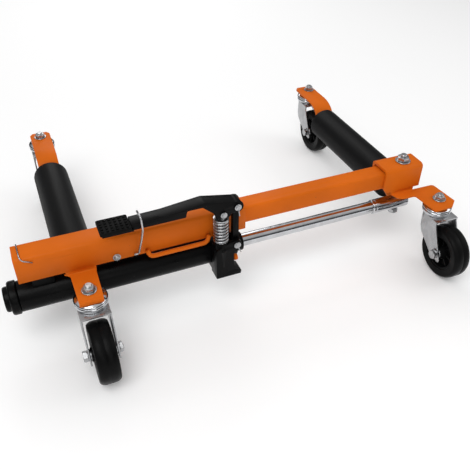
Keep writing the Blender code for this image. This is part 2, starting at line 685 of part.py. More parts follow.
def make_pump_block(parent):
    """One casting: clamp around the cylinder, valve body, flared foot, barrel and link ears."""
    front, back = PUMP_Y - 12.5 * MM, PUMP_Y + 12 * MM
    body = slab("pump_block", rounded([
        (306 * MM, 72 * MM, 1 * MM), (350 * MM, 72 * MM, 1 * MM), (351 * MM, 79 * MM, 1.5 * MM),
        (338 * MM, 86 * MM, 3 * MM), (VALVE_FACE, 112 * MM, 0), (VALVE_FACE, 126 * MM, 0),
        (351.5 * MM, 127 * MM, 9 * MM), (351.5 * MM, 146.5 * MM, 9 * MM),
        (330 * MM, 144 * MM, 2 * MM), (307 * MM, 132 * MM, 3 * MM),
    ]), front, back, ACROSS_Y)
    clamp = box("pump_clamp", (308 * MM, back - 4 * MM, 72.5 * MM), (VALVE_FACE, 48 * MM, 128 * MM))
    barrel = turned("pump_barrel", stacked([
        (12.8 * MM, 32 * MM), (13.6 * MM, 4 * MM), (12.8 * MM, 15 * MM),
    ], BARREL_TOP - 51 * MM), (PLUNGER_X, PUMP_Y, 0), "Z", 16)
    join(body, clamp, barrel)
    bore = rod("clamp_bore", CYLINDER_RADIUS + GAP, (290 * MM, FRAME_Y, RAM_Z),
               (360 * MM, FRAME_Y, RAM_Z), "X", 24)
    well = rod("plunger_well", 8.4 * MM, (PLUNGER_X, PUMP_Y, 104 * MM),
               (PLUNGER_X, PUMP_Y, BARREL_TOP + 10 * MM), "Z", 16)
    slot = box("link_slot", (332.5 * MM, PUMP_Y - 5.6 * MM, 125 * MM),
               (360 * MM, PUMP_Y + 5.6 * MM, 160 * MM))
    cut(body, bore, well, slot, across_pump("link_pin_hole", 4.2 * MM, LINK_FOOT, 30 * MM))
    finish(body, "black_paint", parent)


def make_release_valve(empty):
    knob = turned("release_valve", stacked([(3.5 * MM, 2.5 * MM), (5.5 * MM, 6 * MM)],
                                           VALVE_FACE + 1 * MM), (0, VALVE_Y, VALVE_Z), "X", 12)
    finish(knob, "orange_paint", empty)


def make_plunger(empty):
    """The pump's plunger: a round stem, a spring collar, and a tongue with a slot for its pin."""
    x, y = PLUNGER_X, PUMP_Y
    collar_low = 188 * MM
    stem = turned("plunger", stacked([(8 * MM, collar_low - 112 * MM), (13 * MM, 2.5 * MM),
                                      (7 * MM, 2 * MM)], 112 * MM), (x, y, 0), "Z", 14)
    tongue = box("plunger_tongue", (x - 7 * MM, y - 4.6 * MM, collar_low + 1.5 * MM),
                 (x + 7 * MM, y + 4.6 * MM, PLUNGER_PIN_Z + 7.5 * MM))
    slot_low, slot_high = PLUNGER_PIN_Z - 4.3 * MM, PLUNGER_PIN_Z + 4.5 * MM
    slot = slab("plunger_slot", rounded([
        (x - 5.8 * MM, slot_low, 4.2 * MM), (x + 5.8 * MM, slot_low, 4.2 * MM),
        (x + 5.8 * MM, slot_high, 4.2 * MM), (x - 5.8 * MM, slot_high, 4.2 * MM),
    ]), y - 10 * MM, y + 10 * MM, ACROSS_Y)
    join(stem, tongue)
    cut(stem, slot)
    finish(stem, "zinc_plate", empty)
    spring_low, spring_high = BARREL_TOP + 1.6 * MM, collar_low - 1.6 * MM
    points = 8
    route = []
    for step in range(int(SPRING_TURNS * points) + 1):
        angle = 2 * math.pi * step / points
        rise = (spring_high - spring_low) * step / (SPRING_TURNS * points)
        route.append(at(x + 11.7 * MM * math.cos(angle), y + 11.7 * MM * math.sin(angle),
                        spring_low + rise))
    finish(wire("return_spring", route, 1.3 * MM), "spring_steel", empty)


def make_link(empty):
    """The upright link bar from the pump block's ears to the pedal's pivot."""
    (foot_x, foot_z), (head_x, head_z) = LINK_FOOT, PEDAL_PIVOT
    end = 7 * MM
    outline = rounded([
        (foot_x - end, foot_z - end, 6 * MM), (foot_x + end, foot_z - end, 6 * MM),
        (head_x + end, head_z + end, 6 * MM), (head_x - end, head_z + end, 6 * MM),
    ])
    link = slab("link_bar", outline, PUMP_Y - 5 * MM, PUMP_Y + 5 * MM, ACROSS_Y)
    waists = []
    for label, side in (("left", -1), ("right", 1)):
        middle = foot_x + side * 12 * MM
        waists.append(box("link_waist_" + label,
                          (middle - 7 * MM, PUMP_Y - 8 * MM, foot_z + 11 * MM),
                          (middle + 7 * MM, PUMP_Y + 8 * MM, head_z - 11 * MM)))
    cut(link, across_pump("link_foot_hole", 4.3 * MM, LINK_FOOT, 20 * MM),
        across_pump("link_head_hole", 4.1 * MM, PEDAL_PIVOT, 20 * MM), *waists)
    finish(link, "black_paint", empty)


def make_pin(name, point, radius, parent, cotter_drop):
    """A headed pin through the pump's plane, with a split cotter through its front end."""
    x, z = point
    reach = PEDAL_HALF_WIDTH + 4.2 * MM
    head = 2 * MM
    front, back = PUMP_Y - reach, PUMP_Y + reach - 2.5 * MM
    pin = rod(name, radius, (x, front, z), (x, back, z), "Y", 12)
    flange = rod(name + "_head", radius + 1.8 * MM, (x, back - 0.2 * MM, z),
                 (x, back + head, z), "Y", 12)
    washer = rod(name + "_washer", radius + 2 * MM, (x, front + 1.8 * MM, z),
                 (x, front + 3 * MM, z), "Y", 12)
    y = front + 0.6 * MM
    reach_x, reach_z = cotter_drop
    loop = [at(x - 0.25 * reach_x, y - 0.4 * MM, z + 7 * MM), at(x, y - 0.2 * MM, z + 3.4 * MM),
            at(x, y, z), at(x + 0.3 * reach_x, y - 0.8 * MM, z - 0.45 * reach_z),
            at(x + reach_x, y - 1.6 * MM, z - reach_z)]
    cotter = as_mesh(wire(name + "_cotter", loop, 1.0 * MM), name + "_cotter_pin")
    join(pin, flange, washer, cotter)
    finish(pin, "zinc_plate", parent)


def make_pedal(empty):
    """The pedal arm: an inverted U with a clevis at its right end, and a tread under the pad."""
    front, back = PUMP_Y - PEDAL_HALF_WIDTH, PUMP_Y + PEDAL_HALF_WIDTH
    (pivot_x, pivot_z), end = PEDAL_PIVOT, 10 * MM
    arm = slab("pedal_arm", rounded([
        (174 * MM, 214.5 * MM, 0), (258 * MM, 215 * MM, 2 * MM), (260 * MM, 226 * MM, 3 * MM),
        (285 * MM, 226 * MM, 5 * MM), (303 * MM, 210 * MM, 6 * MM), (308 * MM, 195 * MM, 8 * MM),
        (330 * MM, 195 * MM, 8 * MM), (332 * MM, 203 * MM, 3 * MM),
        (pivot_x + end, pivot_z - end, 9 * MM), (pivot_x + end, pivot_z + end, 9 * MM),
        (pivot_x - 3 * MM, pivot_z + end, 4 * MM),
        (288 * MM, 233 * MM, 12 * MM), (224 * MM, 226 * MM, 20 * MM), (174 * MM, 224.5 * MM, 0),
    ]), front, back, ACROSS_Y)
    tread = box("pedal_tread", (129 * MM, PUMP_Y - 15.5 * MM, 215.5 * MM),
                (176 * MM, PUMP_Y + 15.5 * MM, 219 * MM))
    wall = 3.4 * MM
    clevis = box("pedal_clevis", (296 * MM, front + wall, 185 * MM),
                 (365 * MM, back - wall, 220.5 * MM))
    hollow = box("pedal_hollow", (180 * MM, front + 2.5 * MM, 205 * MM),
                 (254 * MM, back - 2.5 * MM, 221.5 * MM))
    join(arm, tread)
    cut(arm, clevis, hollow, across_pump("pedal_pivot_hole", 4.1 * MM, PEDAL_PIVOT, 25 * MM),
        across_pump("pedal_plunger_hole", 3.9 * MM, (PLUNGER_X, PLUNGER_PIN_Z), 25 * MM))
    finish(arm, "black_paint", empty)

    pad = box("pedal_pad", (126 * MM, PUMP_Y - 18 * MM, 219 * MM + GAP),
              (173 * MM, PUMP_Y + 18 * MM, 226.5 * MM))
    for index in range(5):
        x = (132.5 + 8.5 * index) * MM
        cut(pad, box("pad_groove_%d" % index, (x, PUMP_Y - 30 * MM, 224.7 * MM),
                     (x + 3 * MM, PUMP_Y + 30 * MM, 235 * MM)))
    finish(pad, "black_rubber", empty)


def make_pedal_hook(empty):
    """The wire that swings up from the channel's front face and over the pedal arm to hold it down."""
    x, y, z = HOOK_PIVOT
    route = bent([(x - 7 * MM, y, z), (x + 1 * MM, y, z), (x + 4 * MM, y - 20 * MM, 190 * MM),
                  (x + 5 * MM, PUMP_Y - 15 * MM, 214 * MM), (x + 4 * MM, PUMP_Y - 14.5 * MM, 236 * MM),
                  (x + 3 * MM, PUMP_Y + 4 * MM, 236.5 * MM)], 4 * MM)
    finish(wire("pedal_hook", route, 1.7 * MM), "spring_steel", empty)


# ---------------------------------------------------------------- assembly

def build():
    chassis = joint_empty("chassis", at(0, 0, 0))
    slider = joint_empty("slider", at(TUBE_LEFT, FRAME_Y, TUBE_BOTTOM), chassis)

    make_outer_channel(chassis)
    make_loop_handle(chassis)
    make_side_screw(chassis)
    make_end_clip(chassis)
    make_lug("left_lug", LEFT_ROLLER_X, 72 * MM, 117 * MM, 162 * MM, CHANNEL_WIDTH, chassis)
    make_roller_axle("left_roller_axle", LEFT_ROLLER_X, chassis)
    make_rear_strip("left_rear_strip", LEFT_ROLLER_X, 75 * MM, 115 * MM, "rear_left", chassis)
    make_cylinder(chassis)

    make_inner_tube(slider)
    make_corner_bracket(slider)
    make_corner_bolt(slider)
    make_lug("right_lug", RIGHT_ROLLER_X, 655 * MM, 716 * MM, 176 * MM, BRACKET_BACK, slider)
    make_roller_axle("right_roller_axle", RIGHT_ROLLER_X, slider)
    make_rear_strip("right_rear_strip", RIGHT_ROLLER_X, 705 * MM, 747 * MM, "rear_right", slider)
    make_ram(slider)

    for side, x, base in (("left", LEFT_ROLLER_X, chassis), ("right", RIGHT_ROLLER_X, slider)):
        make_roller(side, x, joint_empty(side + "_roller_turn", at(x, ROLLER_FRONT, ROLLER_Z), base))
    for caster in CASTERS:
        make_caster(caster, chassis if caster.endswith("left") else slider)

    make_pump_block(chassis)
    make_release_valve(joint_empty("valve_turn", at(VALVE_FACE, VALVE_Y, VALVE_Z), chassis))
    make_plunger(joint_empty("plunger_travel", at(PLUNGER_X, PUMP_Y, BARREL_TOP), chassis))
    link = joint_empty("link_rock", at(LINK_FOOT[0], PUMP_Y, LINK_FOOT[1]), chassis)
    make_link(link)
    pedal = joint_empty("pedal_swing", at(PEDAL_PIVOT[0], PUMP_Y, PEDAL_PIVOT[1]), link)
    make_pedal(pedal)
    make_pin("link_pin", LINK_FOOT, 4 * MM, chassis, (5 * MM, 13 * MM))
    make_pin("pivot_pin", PEDAL_PIVOT, 3.8 * MM, link, (1 * MM, 14 * MM))
    make_pin("plunger_pin", (PLUNGER_X, PLUNGER_PIN_Z), 3.6 * MM, pedal, (-4 * MM, 6 * MM))
    make_pedal_hook(joint_empty("hook_swing", at(*HOOK_PIVOT), chassis))


build()
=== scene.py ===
"""Looks of the hydraulic wheel dolly: finishes, hardware, wheels, rollers, tread and weld beads."""
import json
import math

import bmesh
import bpy
from mathutils import Matrix, Vector


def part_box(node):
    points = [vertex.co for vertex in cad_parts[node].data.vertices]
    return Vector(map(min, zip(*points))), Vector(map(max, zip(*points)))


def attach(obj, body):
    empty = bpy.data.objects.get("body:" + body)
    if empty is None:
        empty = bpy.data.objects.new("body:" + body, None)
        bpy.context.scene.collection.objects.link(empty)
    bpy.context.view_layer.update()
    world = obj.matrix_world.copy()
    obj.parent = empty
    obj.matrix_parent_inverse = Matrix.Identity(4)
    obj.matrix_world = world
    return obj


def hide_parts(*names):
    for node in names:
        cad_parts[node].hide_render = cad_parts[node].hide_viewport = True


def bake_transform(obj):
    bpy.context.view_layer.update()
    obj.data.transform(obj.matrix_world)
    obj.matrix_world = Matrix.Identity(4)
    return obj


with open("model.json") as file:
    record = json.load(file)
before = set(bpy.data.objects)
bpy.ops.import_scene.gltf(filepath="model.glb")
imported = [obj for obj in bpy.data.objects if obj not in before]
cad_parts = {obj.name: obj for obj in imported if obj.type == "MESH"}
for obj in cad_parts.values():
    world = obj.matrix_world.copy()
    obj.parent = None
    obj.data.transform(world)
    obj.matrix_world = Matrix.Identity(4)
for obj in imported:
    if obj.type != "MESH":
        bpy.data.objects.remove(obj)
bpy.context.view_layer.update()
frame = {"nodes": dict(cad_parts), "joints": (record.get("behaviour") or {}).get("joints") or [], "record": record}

MM = 0.001
CREASE = math.radians(38)
BEVEL_ABOVE = math.radians(48)
WELD_DISTANCE = 0.00001
NODES = frame["nodes"]
JOINTS = {joint["name"]: joint for joint in frame["joints"]}
BODY_OF = {node: body for body, nodes in frame["record"]["behaviour"]["bodies"].items()
           for node in nodes}
SLOT_OF = {row["node"]: row["material_slot"] for row in frame["record"]["subparts"]}
CASTERS = ("front_left", "front_right", "rear_left", "rear_right")

# Sizes the CAD boxes don't give: wheel, caster, roller and spring hardware
WHEEL_RIM = 32.5 * MM
HUB_RIBS = 8
WHEEL_BOLT_RADIUS = 4.9 * MM
KINGPIN_RADIUS = 5.9 * MM
CUP_BORE = 6.5 * MM
RACE_SEAT = 23.1 * MM
RACE_RADIUS = 26 * MM
SPOOL_BORE = 8.4 * MM
SPRING_TURNS = 7.5
SPRING_STEPS = 40
SPRING_WIRE = 1.3 * MM

# The camera in front of the dolly and to its left
CAMERA_PLACE = (-0.3223, -0.88625, 0.7546)
CAMERA_YAW = math.radians(22.9)
CAMERA_PITCH = math.radians(38.6)
CAMERA_ROLL = math.radians(0.7)
CAMERA_LENS = 45.2

# The sky's ramp from dark to white, and the floor's half width in metres
SKY_DARK_TO = 0.26
SKY_WHITE_FROM = 0.64
SKY_STRENGTH = 0.62
FLOOR_HALF = 6.0

# Rotations that stand a turned piece's axis along +X, +Y or +Z
ALONG = {
    "X": Matrix.Rotation(math.radians(90), 4, "Y"),
    "Y": Matrix.Rotation(math.radians(-90), 4, "X"),
    "Z": Matrix.Identity(4),
}


# ---------------------------------------------------------------- places in the frame

def joint_point(name):
    return Vector(JOINTS[name]["pos_m"])


def standing(point, axis):
    """The place of a turned piece whose height starts at the point and runs along a frame axis."""
    return Matrix.Translation(point) @ ALONG[axis]


# ---------------------------------------------------------------- materials

class Recipe:
    """A node tree under construction, around one Principled shader."""

    def __init__(self, name, colour, roughness, metallic=0.0):
        self.material = bpy.data.materials.new(name)
        self.material.use_nodes = True
        self.tree = self.material.node_tree
        self.shader = self.tree.nodes["Principled BSDF"]
        self.shader.inputs["Base Color"].default_value = (*colour, 1)
        self.shader.inputs["Roughness"].default_value = roughness
        self.shader.inputs["Metallic"].default_value = metallic
        self.place = self.tree.nodes.new("ShaderNodeTexCoord").outputs["Object"]
        self.height = None

    def link(self, out, socket):
        self.tree.links.new(out, socket)

    def stretched(self, scale):
        mapping = self.tree.nodes.new("ShaderNodeMapping")
        mapping.inputs["Scale"].default_value = scale
        self.link(self.place, mapping.inputs["Vector"])
        return mapping.outputs["Vector"]

    def noise(self, scale, detail=3.0, stretch=(1, 1, 1), distortion=0.0):
        node = self.tree.nodes.new("ShaderNodeTexNoise")
        node.inputs["Scale"].default_value = scale
        node.inputs["Detail"].default_value = detail
        node.inputs["Distortion"].default_value = distortion
        self.link(self.stretched(stretch), node.inputs["Vector"])
        return node.outputs["Fac"]

    def ramp(self, source, stops):
        node = self.tree.nodes.new("ShaderNodeValToRGB")
        elements = node.color_ramp.elements
        for index, (position, value) in enumerate(stops):
            element = elements[index] if index < 2 else elements.new(position)
            element.position = position
            element.color = (*value, 1) if isinstance(value, tuple) else (value, value, value, 1)
        self.link(source, node.inputs["Fac"])
        return node.outputs["Color"]

    def mix(self, factor, first, second):
        node = self.tree.nodes.new("ShaderNodeMix")
        node.data_type = "RGBA"
        self.link(factor, node.inputs["Factor"])
        sockets = [s for s in node.inputs if s.type == "RGBA"]
        for socket, value in zip(sockets, (first, second)):
            if isinstance(value, tuple):
                socket.default_value = (*value, 1)
            else:
                self.link(value, socket)
        return next(s for s in node.outputs if s.type == "RGBA")

    def colour(self, out):
        self.link(out, self.shader.inputs["Base Color"])

    def roughness(self, source, low, high):
        node = self.tree.nodes.new("ShaderNodeMapRange")
        node.inputs["From Min"].default_value = 0.3
        node.inputs["From Max"].default_value = 0.7
        node.inputs["To Min"].default_value = low
        node.inputs["To Max"].default_value = high
        self.link(source, node.inputs["Value"])
        self.link(node.outputs["Result"], self.shader.inputs["Roughness"])

    def bump(self, source, depth, strength=1.0):
        node = self.tree.nodes.new("ShaderNodeBump")
        node.inputs["Distance"].default_value = depth
        node.inputs["Strength"].default_value = strength
        self.link(source, node.inputs["Height"])
        if self.height is not None:
            self.link(self.height, node.inputs["Normal"])
        self.height = node.outputs["Normal"]
        self.link(self.height, self.shader.inputs["Normal"])


def tint(colour, factor):
    return tuple(min(1.0, channel * factor) for channel in colour)


def painted(name, colour, roughness, chip, shine, coat):
    """Powder coat: orange-peel skin, slight shade drift, fine rubs and a few small chips."""
    recipe = Recipe(name, colour, roughness)
    shades = recipe.ramp(recipe.noise(9, 4), [(0.3, tint(colour, 0.9)), (0.7, tint(colour, 1.08))])
    rubs = recipe.ramp(recipe.noise(60, 5, (0.25, 1, 1), 0.4), [(0.66, 0.0), (0.78, 0.35)])
    rubbed = recipe.mix(rubs, shades, tint(colour, 0.72))
    chips = recipe.ramp(recipe.noise(210, 2), [(0.765, 0.0), (0.785, 1.0)])
    recipe.colour(recipe.mix(chips, rubbed, chip))
    recipe.roughness(recipe.noise(35, 4), roughness - 0.08, roughness + 0.12)
    recipe.bump(recipe.noise(900, 2), 0.00008)
    recipe.bump(chips, 0.00006)
    recipe.shader.inputs["Specular IOR Level"].default_value = shine
    recipe.shader.inputs["Coat Weight"].default_value = coat
    recipe.shader.inputs["Coat Roughness"].default_value = 0.22
    return recipe.material


def rubbery(name, colour, roughness, dust, grain, streaks=(1, 1, 1)):
    """Rubber or moulded plastic: fine grain, dusty scuffs and uneven sheen."""
    recipe = Recipe(name, colour, roughness)
    scuffs = recipe.ramp(recipe.noise(26, 6, streaks, 0.3), [(0.5, 0.0), (0.8, 0.5)])
    specks = recipe.ramp(recipe.noise(500, 2), [(0.7, 0.0), (0.8, 0.6)])
    recipe.colour(recipe.mix(specks, recipe.mix(scuffs, colour, dust), dust))
    recipe.roughness(recipe.noise(40, 5, streaks), roughness - 0.1, roughness + 0.12)
    recipe.shader.inputs["Specular IOR Level"].default_value = 0.08
    recipe.bump(recipe.noise(grain, 3), 0.00012)
    recipe.bump(recipe.noise(90, 4, streaks), 0.0002, 0.4)
    return recipe.material


def plated(name, colour, low, high, streaks, tinge, depth=0.00003):
    """Plated or drawn steel: brushed streaks, clouded patches and small pits."""
    recipe = Recipe(name, colour, (low + high) / 2, 1.0)
    shadow = tint(colour, 0.82)
    clouds = recipe.ramp(recipe.noise(48, 4, distortion=0.6), [(0.35, shadow), (0.65, colour)])
    pits = recipe.ramp(recipe.noise(320, 3), [(0.68, 0.0), (0.8, 0.7)])
    recipe.colour(recipe.mix(pits, clouds, tinge))
    recipe.roughness(recipe.noise(130, 4, streaks), low, high)
    recipe.bump(recipe.noise(260, 4, streaks), depth)
    recipe.bump(pits, 0.00003)
    return recipe.material


ORANGE = (0.655, 0.131, 0.006)
LOOKS = {
    "orange_paint": painted("orange_powder_coat", ORANGE, 0.5, (0.20, 0.07, 0.03), 0.08, 0.02),
    "black_paint": painted("black_enamel", (0.002, 0.002, 0.0021), 0.32, (0.02, 0.0195, 0.0185),
                           0.07, 0.02),
    "roller_black": rubbery("roller_sleeve", (0.006, 0.006, 0.0063), 0.5, (0.016, 0.0156, 0.0152), 700,
                            (1, 0.06, 1)),
    "pad_rubber": rubbery("tread_rubber", (0.0025, 0.0025, 0.0025), 0.6, (0.009, 0.0086, 0.0082), 900),
    "tyre_rubber": rubbery("wheel_rubber", (0.0022, 0.0022, 0.0023), 0.42, (0.008, 0.0077, 0.0074), 650),
    "hub_plastic": rubbery("hub_plastic", (0.0028, 0.0028, 0.003), 0.4, (0.009, 0.0087, 0.0083), 420),
    "zinc_plate": plated("zinc_plate", (0.47, 0.475, 0.485), 0.2, 0.42, (1, 1, 0.15), (0.26, 0.25, 0.235)),
    "chrome": plated("chrome_plate", (0.6, 0.61, 0.63), 0.07, 0.2, (1, 1, 1), (0.4, 0.39, 0.37), 0.00001),
    "spring_steel": plated("spring_steel", (0.5, 0.5, 0.51), 0.2, 0.36, (1, 1, 0.3), (0.24, 0.23, 0.22)),
}


# ---------------------------------------------------------------- mesh building

def skin(bm, loops, ring=False):
    """Faces between loops of equal length: closed into a ring, or capped at both ends."""
    rings = [[bm.verts.new(point) for point in loop] for loop in loops]
    count = len(rings[0])
    pairs = list(zip(rings, rings[1:]))
    if ring:
        pairs.append((rings[-1], rings[0]))
    for first, second in pairs:
        for i in range(count):
            j = (i + 1) % count
            bm.faces.new((first[i], first[j], second[j], second[i]))
    if not ring:
        bm.faces.new(rings[0][::-1])
        bm.faces.new(rings[-1])


def rounded(corners, steps=4):
    """A closed outline whose (u, v, radius) corners are rounded to their radius."""
    outline = []
    for index, (u, v, radius) in enumerate(corners):
        corner = Vector((u, v))
        if radius == 0:
            outline.append(corner)
            continue
        before = Vector(corners[index - 1][:2]) - corner
        after = Vector(corners[(index + 1) % len(corners)][:2]) - corner
        reach = min(radius, before.length * 0.49, after.length * 0.49)
        enter, leave = corner + before.normalized() * reach, corner + after.normalized() * reach
        for step in range(steps + 1):
            t = step / steps
            outline.append(enter * (1 - t) ** 2 + corner * 2 * t * (1 - t) + leave * t ** 2)
    return outline


def turn(bm, outline, place, steps=64):
    """A lathe-turned ring from a closed (radius, height) outline, or a solid if it starts at radius 0."""
    solid = outline[0][0] == 0
    profile = outline[1:-1] if solid else outline
    loops = []
    for radius, height in profile:
        loops.append([place @ Vector((radius * math.cos(2 * math.pi * i / steps),
                                      radius * math.sin(2 * math.pi * i / steps), height))
                      for i in range(steps)])
    skin(bm, loops, ring=not solid)


def rod(bm, radius, low, high, place, steps=32, edge=0.4 * MM):
    """A solid bar with chamfered ends."""
    turn(bm, [(0, low), (radius - edge, low), (radius, low + edge), (radius, high - edge),
              (radius - edge, high), (0, high)], place, steps)


def hexagon(bm, apothem, low, high, place, steps=36, chamfer=0.96):
    """A hexagonal nut or bolt head, with its corners chamfered by a cone at both ends."""
    loops = [[], [], [], []]
    for i in range(steps):
        angle = 2 * math.pi * i / steps
        radius = apothem / math.cos((angle % math.radians(60)) - math.radians(30))
        drop = max(0.0, radius - chamfer * apothem) * 0.55
        for loop, reach, height in zip(loops, (chamfer * apothem, radius, radius, chamfer * apothem),
                                       (low, low + drop, high - drop, high)):
            loop.append(place @ Vector((reach * math.cos(angle), reach * math.sin(angle), height)))
    skin(bm, loops)


def threaded(bm, radius, low, high, pitch, place, steps=32):
    """A threaded end: V grooves a pitch apart, under a chamfered tip."""
    outline = [(0, low), (radius, low)]
    level = low
    while level + pitch < high - pitch * 0.6:
        outline += [(radius, level + 0.15 * pitch), (radius - 0.5 * pitch, level + 0.5 * pitch),
                    (radius, level + 0.85 * pitch)]
        level += pitch
    outline += [(radius, high - pitch * 0.6), (radius - pitch * 0.6, high), (0, high)]
    turn(bm, outline, place, steps)


def tube(bm, path, radius, sides=12):
    """A round wire along a path; radius is a number or a function of the share of the way along."""
    size = radius if callable(radius) else (lambda share: radius)
    points = [Vector(point) for point in path]
    loops, across = [], None
    for index, point in enumerate(points):
        ahead = points[min(index + 1, len(points) - 1)] - points[max(index - 1, 0)]
        ahead.normalize()
        if across is None:
            across = ahead.orthogonal().normalized()
        across = (across - ahead * across.dot(ahead)).normalized()
        other = ahead.cross(across)
        reach = size(index / (len(points) - 1))
        loops.append([point + (across * math.cos(2 * math.pi * i / sides)
                               + other * math.sin(2 * math.pi * i / sides)) * reach
                      for i in range(sides)])
    skin(bm, loops)


def box(bm, low, high, bevel=0.6 * MM):
    """A block with rounded edges between two corners."""
    low, high = Vector(low), Vector(high)
    made = bmesh.ops.create_cube(bm, size=1, matrix=Matrix.Translation((low + high) / 2)
                                 @ Matrix.Diagonal((*(high - low), 1)))
    edges = list({edge for vert in made["verts"] for edge in vert.link_edges})
    bmesh.ops.bevel(bm, geom=edges, offset=bevel, segments=2, profile=0.5, affect="EDGES")


def piece(name, bm, slot, body, *stands_for):
    """The finished piece: shaded, painted, riding on its body if one is named, in place of CAD nodes."""
    bmesh.ops.recalc_face_normals(bm, faces=bm.faces)
    mesh = bpy.data.meshes.new(name)
    bm.to_mesh(mesh)
    bm.free()
    mesh.shade_smooth()
    mesh.set_sharp_from_angle(angle=CREASE)
    mesh.materials.append(LOOKS[slot])
    obj = bpy.data.objects.new(name, mesh)
    bpy.context.scene.collection.objects.link(obj)
    if body:
        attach(obj, body)
    if stands_for:
        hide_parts(*stands_for)
    return obj


# ---------------------------------------------------------------- CAD nodes that stay

def dress_cad_nodes():
    """Every CAD node takes its slot's finish, and pressed or cast ones get rounded edges."""
    edges = {
        "outer_channel": 0.5, "corner_bracket": 0.7, "inner_tube": 0.3, "left_lug": 0.8,
        "right_lug": 0.8, "left_rear_strip": 0.5, "right_rear_strip": 0.5, "pump_block": 1.2,
        "pedal_arm": 0.9, "link_bar": 0.8, "cylinder_saddle": 1.0, "plunger": 0.5,
        "link_pin": 0.35, "pivot_pin": 0.35, "plunger_pin": 0.35,
        **{caster + "_fork": 0.5 for caster in CASTERS},
    }
    for name, obj in NODES.items():
        obj.data.materials.clear()
        obj.data.materials.append(LOOKS[SLOT_OF[name]])
        weld = obj.modifiers.new("weld", "WELD")
        weld.merge_threshold = WELD_DISTANCE
        if name in edges:
            bevel = obj.modifiers.new("edges", "BEVEL")
            bevel.width = edges[name] * MM
            bevel.segments = 2
            bevel.limit_method = "ANGLE"
            bevel.angle_limit = BEVEL_ABOVE
            bevel.use_clamp_overlap = True
        obj.data.shade_smooth()
        obj.data.set_sharp_from_angle(angle=CREASE)


# ---------------------------------------------------------------- casters

def make_wheel(caster):
    low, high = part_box(caster + "_tyre")
    centre = (low + high) / 2
    radius, half = (high.z - low.z) / 2, (high.x - low.x) / 2
    place = standing(centre, "X")
    rim = WHEEL_RIM
    bm = bmesh.new()
    turn(bm, rounded([
        (rim, -half + 2 * MM, 1 * MM), (radius - 9 * MM, -half + 0.6 * MM, 3 * MM),
        (radius - 4 * MM, -half, 3 * MM), (radius, -half + 6.5 * MM, 5 * MM),
        (radius, -0.8 * MM, 0), (radius - 0.5 * MM, 0, 0), (radius, 0.8 * MM, 0),
        (radius, half - 6.5 * MM, 5 * MM), (radius - 4 * MM, half, 3 * MM),
        (radius - 9 * MM, half - 0.6 * MM, 3 * MM), (rim, half - 2 * MM, 1 * MM),
    ]), place, 96)
    piece(caster + "_wheel_tread", bm, "tyre_rubber", caster + "_wheel", caster + "_tyre")

    hub_low, hub_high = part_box(caster + "_hub")
    boss = (hub_high.x - hub_low.x) / 2
    bm = bmesh.new()
    turn(bm, rounded([
        (rim - 0.1 * MM, -half + 3 * MM, 0.8 * MM), (rim - 0.1 * MM, half - 3 * MM, 0.8 * MM),
        (rim - 3 * MM, half - 3.5 * MM, 1 * MM), (rim - 5.5 * MM, 4 * MM, 2 * MM),
        (14 * MM, 3.2 * MM, 2 * MM), (11.5 * MM, boss - 1 * MM, 1 * MM), (5.6 * MM, boss, 0.6 * MM),
        (5.6 * MM, -boss, 0.6 * MM), (11.5 * MM, -boss + 1 * MM, 1 * MM),
        (14 * MM, -3.2 * MM, 2 * MM), (rim - 5.5 * MM, -4 * MM, 2 * MM),
        (rim - 3 * MM, -half + 3.5 * MM, 1 * MM),
    ]), place, 64)
    for index in range(HUB_RIBS):
        made = bmesh.new()
        box(made, (-9.5 * MM, -1.2 * MM, 11 * MM), (9.5 * MM, 1.2 * MM, rim - 3.5 * MM), 0.5 * MM)
        angle = 2 * math.pi * index / HUB_RIBS
        made.transform(Matrix.Translation(centre) @ Matrix.Rotation(angle, 4, "X"))
        spare = bpy.data.meshes.new("rib")
        made.to_mesh(spare)
        made.free()
        bm.from_mesh(spare)
        bpy.data.meshes.remove(spare)
    piece(caster + "_wheel_hub", bm, "hub_plastic", caster + "_wheel", caster + "_hub")

    bm = bmesh.new()
    for side in (-1, 1):
        face = side * boss
        inward, outward = face - side * 1.5 * MM, face + side * 0.6 * MM
        turn(bm, rounded([(5.3 * MM, inward, 0), (10 * MM, inward, 0), (9.4 * MM, outward, 0.5 * MM),
                          (5.3 * MM, outward, 0)]), place, 40)
    piece(caster + "_hub_washers", bm, "zinc_plate", caster + "_wheel")


